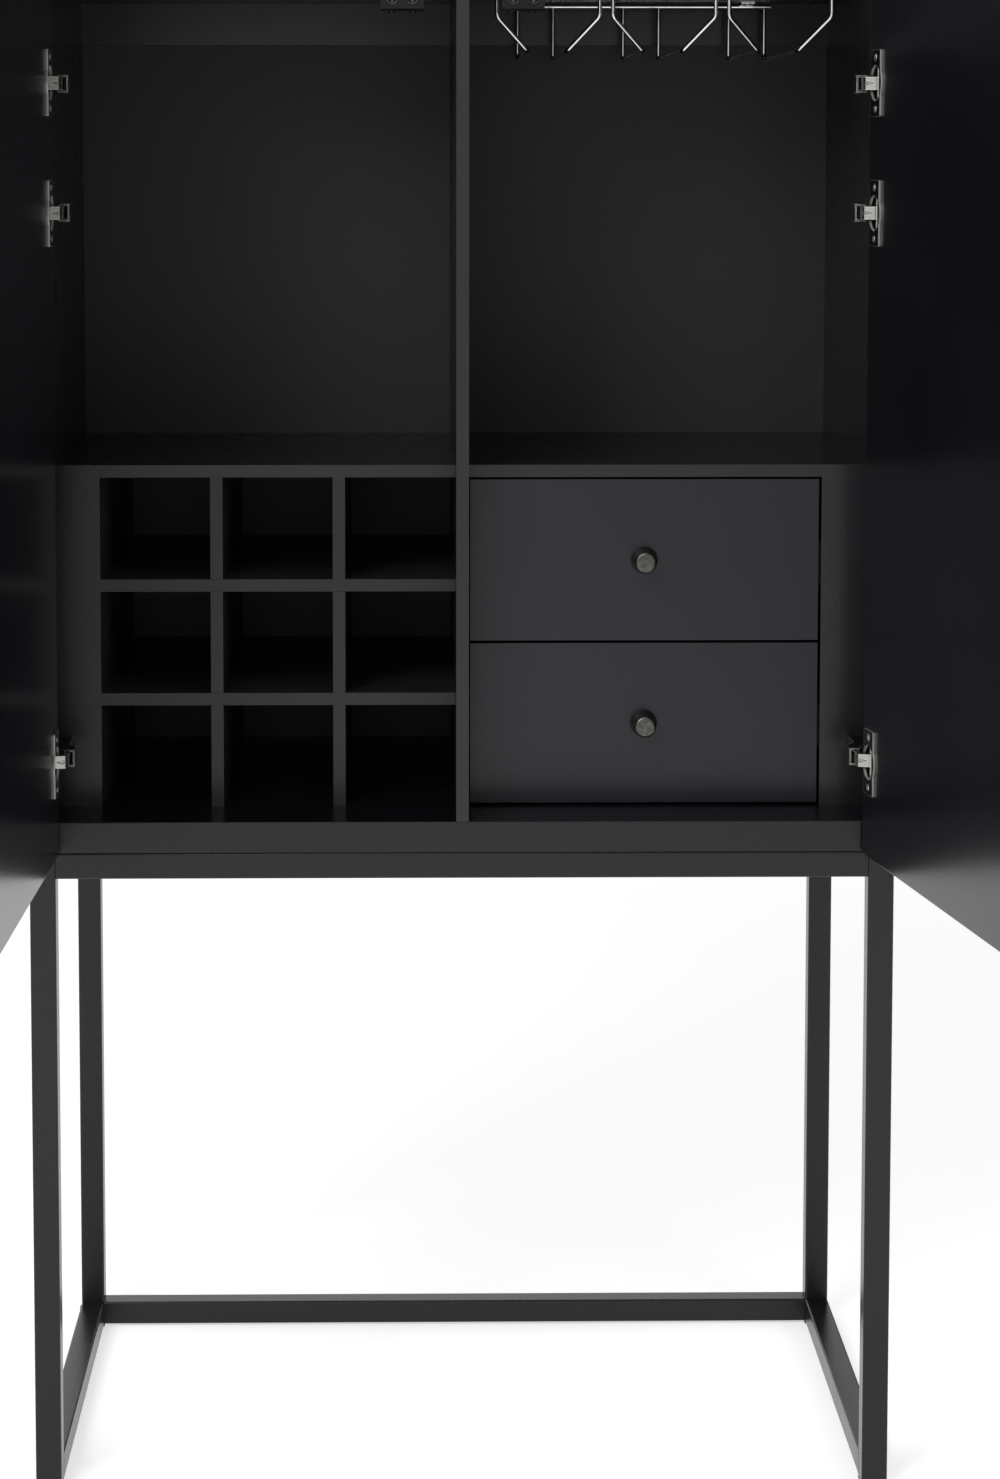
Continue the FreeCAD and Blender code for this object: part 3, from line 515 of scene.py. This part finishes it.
def blackened(name, finish):
    """Black oxide on steel bolts, bright where a key has rubbed."""
    material, start = begin(name)
    clouds = spots(place_on(start), size=0.003, detail=3.0)
    rubbed = edges(start, reach=0.0006) * ramp(clouds, low=0.4, high=0.7)
    base = start.mix(rubbed, tuple(finish.black_oxide), tuple(finish.rubbed_steel))
    sheen = finish.oxide_roughness + swing(clouds, width=0.2)
    complete(start, base, sheen, clouds, depth=0.00003, plain={"Metallic": 0.9})
    return material


def paint(nodes, material):
    """Gives CAD nodes a finish."""
    for node in nodes:
        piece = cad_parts[node]
        if not piece.material_slots:
            piece.data.materials.append(material)
        for slot in piece.material_slots:
            slot.material = material


# New pieces

WELD = 1e-6
SORT_DIGITS = 4
SHARP = math.radians(35)


def circle(sides):
    """The corners of a round outline of radius 1."""
    turns = [2 * math.pi * i / sides for i in range(sides)]
    return [(math.cos(turn), math.sin(turn)) for turn in turns]


def wall(mesh, lower, upper):
    """Faces between two outlines with equally many corners."""
    for i in range(len(lower)):
        j = (i + 1) % len(lower)
        mesh.faces.new((lower[i], lower[j], upper[j], upper[i]))


def settle(mesh, name, node, body, material):
    """Makes a piece of a mesh. It moves with a body and stands for a CAD node."""
    bmesh.ops.recalc_face_normals(mesh, faces=mesh.faces)
    data = bpy.data.meshes.new(name)
    mesh.to_mesh(data)
    mesh.free()
    data.materials.append(material)
    for face in data.polygons:
        face.use_smooth = True
    data.set_sharp_from_angle(angle=SHARP)
    piece = bpy.data.objects.new(name, data)
    bpy.context.scene.collection.objects.link(piece)
    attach(piece, body)
    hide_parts(node)


# Screws and bolts

CROSS = 4
HEXAGON = 6
CROSS_TURN = math.radians(45)
# Shares of a head's radius and height, from its seat to its top
ROUND_STEPS = ((1.0, 0.0), (1.0, 0.34), (0.95, 0.62), (0.85, 0.85), (0.70, 1.0))
RECESS_TAPER = 0.8
# Shares of the widest radius, beyond which a corner is on the outline or on the head
OUTLINE_SHARE = 0.6
HEAD_SHARE = 0.85
# Shares of the head's radius in the shank, with a rim and without
SHANK_SHARE = 0.55
FLUSH_SHANK_SHARE = 0.9
# A head that takes more than this share of its screw has no rim of its own
TALLEST_HEAD = 0.6


def to_middle(at):
    """The direction from a place to the middle of the cabinet, across it."""
    return Vector((-at.x, 0.0, 0.0))


def from_middle(at):
    """The direction from the middle of the cabinet to a place, across it."""
    return Vector((at.x, 0.0, 0.0))


def downward(at):
    """The direction to the floor, the same from every place."""
    return Vector((0.0, 0.0, -1.0))


def islands(node):
    """The corner points of each separate screw of a CAD node, in a steady order."""
    copy = bmesh.new()
    copy.from_mesh(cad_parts[node].data)
    bmesh.ops.remove_doubles(copy, verts=copy.verts, dist=WELD)
    copy.verts.ensure_lookup_table()
    seen, groups = set(), []
    for corner in copy.verts:
        if corner.index in seen:
            continue
        seen.add(corner.index)
        group, waiting = [], [corner]
        while waiting:
            at = waiting.pop()
            group.append(tuple(at.co))
            for edge in at.link_edges:
                other = edge.other_vert(at)
                if other.index not in seen:
                    seen.add(other.index)
                    waiting.append(other)
        groups.append(np.array(group))
    copy.free()
    return sorted(groups, key=lambda g: tuple(np.round(g.mean(0), SORT_DIGITS)))


def screw_sizes(points, facing):
    """Top, direction outward, head radius, head height and length of one screw."""
    middle = points.mean(0)
    out = np.linalg.eigh(np.cov((points - middle).T))[1][:, -1]
    if out @ np.array(facing(Vector(middle))) < 0:
        out = -out
    along = (points - middle) @ out
    off_axis = points - middle - np.outer(along, out)
    across = np.linalg.norm(off_axis, axis=1)
    middle = middle + off_axis[across > OUTLINE_SHARE * across.max()].mean(0)
    across = np.linalg.norm(points - middle - np.outer(along, out), axis=1)
    head = across > HEAD_SHARE * across.max()
    top, bottom = along.max(), along.min()
    height = top - along[head].min()
    return Vector(middle + out * top), Vector(out), across.max(), height, top - bottom


def recess_outline(kind, radius, fitting):
    """Corners of a driver's recess, round the middle of a head."""
    if kind == HEXAGON:
        reach = radius * fitting.socket_width
        return [(reach * x, reach * y) for x, y in circle(HEXAGON)]
    reach = radius * fitting.cross_length
    half = reach * fitting.cross_width
    corners = []
    for quarter in range(CROSS):
        turn = Matrix.Rotation(math.radians(90) * quarter + CROSS_TURN, 2)
        for x, y in ((half, half), (reach, half), (reach, -half)):
            corners.append(tuple(turn @ Vector((x, y))))
    # the corners run round the cross against the clock
    return sorted(corners, key=lambda c: math.atan2(c[1], c[0]))


def add_screw(mesh, seat, facing, radius, height, shank, reach, kind, fitting):
    """A domed head with a recess and a plain shank, its top at seat and facing outward."""
    turn = facing.to_track_quat("Z", "Y").to_matrix().to_4x4()
    stand = Matrix.Translation(seat - facing * height) @ turn

    def corners(outline, width, level):
        return [
            mesh.verts.new(stand @ Vector((x * width, y * width, level))) for x, y in outline
        ]

    round_outline = circle(fitting.sides)
    rings = [corners(round_outline, shank, height - reach), corners(round_outline, shank, 0.0)]
    rings += [corners(round_outline, radius * w, height * h) for w, h in ROUND_STEPS]
    for lower, upper in zip(rings, rings[1:]):
        wall(mesh, lower, upper)
    tail, rim = rings[0], rings[-1]
    mesh.faces.new(tail[::-1])
    depth = fitting.socket_depth if kind == HEXAGON else fitting.cross_depth
    outline = recess_outline(kind, radius, fitting)
    mouth = corners(outline, 1.0, height)
    floor = corners(outline, RECESS_TAPER, height - depth)
    wall(mesh, floor, mouth)
    mesh.faces.new(floor)
    loops = []
    for loop in (rim, mouth):
        for corner, after in zip(loop, loop[1:] + loop[:1]):
            loops.append(mesh.edges.get((corner, after)) or mesh.edges.new((corner, after)))
    bmesh.ops.triangle_fill(mesh, edges=loops, use_beauty=True)


def screw_set(name, node, body, facing, kind, material, fitting):
    """Screws with driver recesses in the places of a CAD node's plain ones."""
    mesh = bmesh.new()
    for points in islands(node):
        seat, out, radius, height, reach = screw_sizes(points, facing)
        shank = radius * SHANK_SHARE
        if height > TALLEST_HEAD * reach:
            height, shank = fitting.flush_head, radius * FLUSH_SHANK_SHARE
        add_screw(mesh, seat, out, radius, height, shank, reach, kind, fitting)
    settle(mesh, name, node, body, material)


# Plungers of the latches: shares of the radius and of the length, from the back to the nose

BUTTON = (
    (1.00, 0.00), (1.00, 0.84), (0.97, 0.90), (0.90, 0.93), (0.76, 0.93), (0.72, 0.88),
    (0.60, 0.88), (0.56, 0.94), (0.40, 0.98), (0.20, 0.995),
)


def plunger(name, node, material, fitting):
    """A turned button with a groove round its domed nose, in the place of a CAD plunger."""
    low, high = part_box(node)
    middle = (low + high) / 2
    radius = (high.x - low.x) / 2
    mesh = bmesh.new()
    rings = []
    for width, along in BUTTON:
        reach = radius * width
        level = high.y + (low.y - high.y) * along
        rings.append([
            mesh.verts.new((middle.x + reach * x, level, middle.z + reach * z))
            for x, z in circle(fitting.plunger_sides)
        ])
    for back, front in zip(rings, rings[1:]):
        wall(mesh, back, front)
    mesh.faces.new(rings[0])
    nose = rings[-1]
    tip = mesh.verts.new((middle.x, low.y, middle.z))
    for corner, after in zip(nose, nose[1:] + nose[:1]):
        mesh.faces.new((corner, after, tip))
    settle(mesh, name, node, node, material)


# Operators

class CABINET_OT_carcass(bpy.types.Operator):
    """Lacquer the carcass boards, shelves and back"""

    bl_idname = "cabinet.carcass"
    bl_label = "Carcass"

    def execute(self, context):
        finish = context.scene.cabinet_finish
        satin, gloss = finish.lacquer_roughness, finish.lacquer_gloss
        coats = (
            (CARCASS, "carcass_lacquer", finish.board_lacquer, satin, gloss),
            (END_BOARDS, "end_board_lacquer", finish.lacquer, satin, finish.end_gloss),
            (BACK, "back_lacquer", finish.back_lacquer, finish.back_roughness, gloss),
        )
        for nodes, name, tint, roughness, shine in coats:
            paint(nodes, lacquer(name, finish, tint, roughness, shine))
        return {"FINISHED"}


class CABINET_OT_rack(bpy.types.Operator):
    """Lacquer the bottle rack's crossed boards"""

    bl_idname = "cabinet.rack"
    bl_label = "Bottle rack"

    def execute(self, context):
        finish = context.scene.cabinet_finish
        roughness, gloss = finish.rack_roughness, finish.rack_gloss
        # painted light: the rack takes a paler copy of the black lacquer for its shaded cells
        paint(RACK, lacquer("rack_lacquer_painted_light", finish, finish.rack_lacquer_painted_light, roughness, gloss))
        return {"FINISHED"}


class CABINET_OT_doors(bpy.types.Operator):
    """Lacquer the doors and plate their strikes"""

    bl_idname = "cabinet.doors"
    bl_label = "Doors"

    def execute(self, context):
        finish = context.scene.cabinet_finish
        roughness, gloss = finish.door_roughness, finish.end_gloss
        paint(DOORS, lacquer("door_lacquer", finish, finish.lacquer, roughness, gloss))
        zinc = plated("strike_zinc", finish.zinc, roughness=0.3, cloud=0.006, scratch=0.0008)
        paint(STRIKES, zinc)
        return {"FINISHED"}


class CABINET_OT_drawers(bpy.types.Operator):
    """Finish the drawers, their runners and their knobs"""

    bl_idname = "cabinet.drawers"
    bl_label = "Drawers"

    def execute(self, context):
        finish = context.scene.cabinet_finish
        roughness, gloss = finish.drawer_roughness, finish.lacquer_gloss
        skin = lacquer("drawer_lacquer", finish, finish.drawer_lacquer, roughness, gloss)
        paint(DRAWER_FRONTS, skin)
        paint(DRAWER_BOXES, drawer_paint("drawer_paint", finish))
        paint(RUNNERS, powder_coat("runner_coat", finish))
        for node in KNOBS:
            metal = turned(
                node + "_gunmetal", node, finish.gunmetal, roughness=0.34, ring=0.0004,
            )
            paint([node], metal)
        return {"FINISHED"}


class CABINET_OT_hinges(bpy.types.Operator):
    """Plate the concealed hinges and give them screws with cross recesses"""

    bl_idname = "cabinet.hinges"
    bl_label = "Hinges"

    def execute(self, context):
        finish, fitting = context.scene.cabinet_finish, context.scene.cabinet_fitting
        # the rims get a painted highlight colour and the hollows a painted shade colour
        plating = {
            "cloud": 0.012, "scratch": 0.0009,
            "painted_rim_and_shade": (tuple(finish.painted_highlight_rim), tuple(finish.hollow_shade)),
        }
        nickel = plated("link_nickel", finish.nickel, roughness=0.24, **plating)
        paint(HINGE_LINKS + HINGE_PINS, nickel)
        for node in HINGE_CUPS:
            sheet = (*largest_flat(node), fitting.flange)
            cup = plated(
                node + "_nickel", finish.cup_nickel, roughness=0.26, sheet=sheet, **plating,
            )
            paint([node], cup)
        # painted shade: the arms take a darkened copy of the hinges' nickel
        paint(HINGE_ARMS, plated("arm_nickel_painted_shade", finish.shaded_arm_nickel, roughness=0.30, **plating))
        zinc = plated("screw_zinc", finish.zinc, roughness=0.3, **SCREW_GRAIN)
        screw_set("hinge_screw_set", "hinge_screws", "cabinet", to_middle, CROSS, nickel, fitting)
        for door in ("left_door", "right_door"):
            name, node = door + "_screw_set", door + "_screws"
            screw_set(name, node, door, to_middle, CROSS, zinc, fitting)
        return {"FINISHED"}


class CABINET_OT_latches(bpy.types.Operator):
    """Finish the push latches' cases, plungers and screws"""

    bl_idname = "cabinet.latches"
    bl_label = "Latches"

    def execute(self, context):
        finish, fitting = context.scene.cabinet_finish, context.scene.cabinet_fitting
        paint(LATCH_CASES, moulded("latch_plastic", finish))
        for node in PLUNGERS:
            steel = turned(node + "_steel", node, finish.plunger, roughness=0.16, ring=0.0005)
            plunger(node + "_button", node, steel, fitting)
        oxide = blackened("latch_screw_oxide", finish)
        screw_set("latch_screw_set", "latch_screws", "cabinet", downward, CROSS, oxide, fitting)
        return {"FINISHED"}


class CABINET_OT_stemware(bpy.types.Operator):
    """Chrome the wires that hold stemware"""

    bl_idname = "cabinet.stemware"
    bl_label = "Stemware rack"

    def execute(self, context):
        finish = context.scene.cabinet_finish
        chrome = plated("wire_chrome", finish.chrome, roughness=0.09, cloud=0.02, scratch=0.0008)
        paint(STEMWARE, chrome)
        return {"FINISHED"}


class CABINET_OT_steel_frame(bpy.types.Operator):
    """Powder coat the tubes and finish their bolts, plugs and glides"""

    bl_idname = "cabinet.steel_frame"
    bl_label = "Steel frame"

    def execute(self, context):
        finish, fitting = context.scene.cabinet_finish, context.scene.cabinet_fitting
        paint(TUBES, powder_coat("tube_powder_coat", finish))
        paint(PLUGS, moulded("plug_plastic", finish))
        zinc = plated("carcass_screw_zinc", finish.zinc, roughness=0.3, **SCREW_GRAIN)
        paint(HIDDEN_SCREWS, zinc)
        oxide = blackened("bolt_oxide", finish)
        screw_set("frame_bolt_set", "frame_bolts", "cabinet", from_middle, HEXAGON, oxide, fitting)
        return {"FINISHED"}


# Stage

WHITE = (1.0, 1.0, 1.0, 1.0)
KEY_PLACE, KEY_AIM = (-1.7, -3.1, 3.1), (0.0, 0.0, 1.1)
FILL_PLACE, FILL_AIM = (2.4, -2.6, 1.8), (0.0, 0.0, 0.9)
# The dark screen begins and ends softly between these shares of the way to the right
FLAG_START, FLAG_END = (0.09, 0.26), (0.55, 0.80)
FLOOR_SQUARES = 8
SENSOR_WIDTH = 36.0
FARTHEST = 200.0


def seen_ray(start):
    """1 for the rays of the camera, of reflections and of glass, and 0 for light."""
    camera = start.node("ShaderNodeLightPath", output="Is Camera Ray")
    mirrored = start.maths("MAXIMUM", camera, camera.beside("Is Glossy Ray"))
    return start.maths("MAXIMUM", mirrored, camera.beside("Is Transmission Ray"))


def lamp(name, watts, size, place, aim):
    """A square soft lamp that faces a place."""
    data = bpy.data.lights.new(name, "AREA")
    data.shape = "SQUARE"
    data.size = size
    data.energy = watts
    piece = bpy.data.objects.new(name, data)
    bpy.context.scene.collection.objects.link(piece)
    piece.location = place
    piece.rotation_euler = (Vector(aim) - Vector(place)).to_track_quat("-Z", "Y").to_euler()
    return piece


class CABINET_OT_stage(bpy.types.Operator):
    """Lay the floor, hang the lamps and stand the camera"""

    bl_idname = "cabinet.stage"
    bl_label = "Stage"

    def execute(self, context):
        stage = context.scene.cabinet_stage
        self.lay_floor(stage)
        self.light(context.scene, stage)
        self.stand_camera(context.scene, stage)
        return {"FINISHED"}

    def lay_floor(self, stage):
        mesh = bmesh.new()
        bmesh.ops.create_grid(
            mesh, x_segments=FLOOR_SQUARES, y_segments=FLOOR_SQUARES, size=stage.floor / 2,
        )
        data = bpy.data.meshes.new("stage_floor")
        mesh.to_mesh(data)
        mesh.free()
        material, start = begin("floor_paint")
        clouds = spots(place_on(start), size=0.6, detail=3.0)
        tint = tuple(stage.floor_colour)
        base = start.mix(clouds, tint, toned(tint, factor=1.02))
        plain = start.node("ShaderNodeBsdfDiffuse", None, {"Color": base})
        glow = start.node("ShaderNodeEmission", None, {"Strength": stage.floor_glow})
        shown = start.node("ShaderNodeAddShader", None, {0: plain, 1: glow})
        skin = start.node("ShaderNodeMixShader", None, {0: seen_ray(start), 1: plain, 2: shown})
        start.node("ShaderNodeOutputMaterial", None, {"Surface": skin})
        data.materials.append(material)
        floor = bpy.data.objects.new("stage_floor", data)
        bpy.context.scene.collection.objects.link(floor)

    def light(self, scene, stage):
        world = bpy.data.worlds.new("studio")
        world.use_nodes = True
        world.node_tree.nodes.clear()
        start = Shade(world.node_tree)

        def background(strength):
            return start.node("ShaderNodeBackground", None, {"Color": WHITE, "Strength": strength})

        toward = start.node("ShaderNodeTexCoord", output="Generated")
        rightward = start.node("ShaderNodeSeparateXYZ", None, {0: toward}, "X")
        mirrored = start.node("ShaderNodeLightPath", output="Is Glossy Ray")
        flagged = ramp(rightward, *FLAG_START) * (1.0 - ramp(rightward, *FLAG_END)) * mirrored
        sockets = {0: flagged, 1: background(1.0), 2: background(stage.flag)}
        shown = start.node("ShaderNodeMixShader", None, sockets)
        sockets = {0: seen_ray(start), 1: background(stage.sky), 2: shown}
        both = start.node("ShaderNodeMixShader", None, sockets)
        start.node("ShaderNodeOutputWorld", None, {"Surface": both})
        scene.world = world
        lamp("key_lamp", stage.key, stage.lamp_size, KEY_PLACE, KEY_AIM)
        fill = lamp("fill_lamp", stage.fill, stage.lamp_size, FILL_PLACE, FILL_AIM)
        # the top board doesn't mirror the low side lamp
        fill.visible_glossy = False

    def stand_camera(self, scene, stage):
        data = bpy.data.cameras.new("camera")
        data.sensor_fit = "AUTO"
        data.sensor_width = SENSOR_WIDTH
        data.lens = stage.lens
        data.shift_x = stage.slide
        data.shift_y = stage.drop
        data.clip_end = FARTHEST
        camera = bpy.data.objects.new("camera", data)
        camera.location = stage.place
        camera.rotation_euler = (math.radians(90) - stage.tilt, 0.0, -stage.turn)
        scene.collection.objects.link(camera)
        scene.camera = camera
        scene.view_settings.view_transform = "Standard"


class CABINET_PT_panel(bpy.types.Panel):
    """The cabinet's finishes, fittings and stage"""

    bl_label = "Bar cabinet"
    bl_idname = "CABINET_PT_panel"
    bl_space_type = "VIEW_3D"
    bl_region_type = "UI"
    bl_category = "Cabinet"

    def draw(self, context):
        scene = context.scene
        for group in (scene.cabinet_finish, scene.cabinet_fitting, scene.cabinet_stage):
            box = self.layout.box()
            for key in group.__annotations__:
                box.prop(group, key)
        for operator in OPERATORS:
            self.layout.operator(operator.bl_idname)


GROUPS = (CabinetFinish, CabinetFitting, CabinetStage)
OPERATORS = (
    CABINET_OT_carcass, CABINET_OT_rack, CABINET_OT_doors, CABINET_OT_drawers, CABINET_OT_hinges,
    CABINET_OT_latches, CABINET_OT_stemware, CABINET_OT_steel_frame, CABINET_OT_stage,
)
CLASSES = GROUPS + OPERATORS + (CABINET_PT_panel,)


def register():
    for each in CLASSES:
        bpy.utils.register_class(each)
    bpy.types.Scene.cabinet_finish = PointerProperty(type=CabinetFinish)
    bpy.types.Scene.cabinet_fitting = PointerProperty(type=CabinetFitting)
    bpy.types.Scene.cabinet_stage = PointerProperty(type=CabinetStage)


def unregister():
    del bpy.types.Scene.cabinet_stage
    del bpy.types.Scene.cabinet_fitting
    del bpy.types.Scene.cabinet_finish
    for each in reversed(CLASSES):
        bpy.utils.unregister_class(each)


def main():
    register()
    bpy.ops.cabinet.carcass()
    bpy.ops.cabinet.rack()
    bpy.ops.cabinet.doors()
    bpy.ops.cabinet.drawers()
    bpy.ops.cabinet.hinges()
    bpy.ops.cabinet.latches()
    bpy.ops.cabinet.stemware()
    bpy.ops.cabinet.steel_frame()
    bpy.ops.cabinet.stage()


if __name__ == "__main__":
    main()
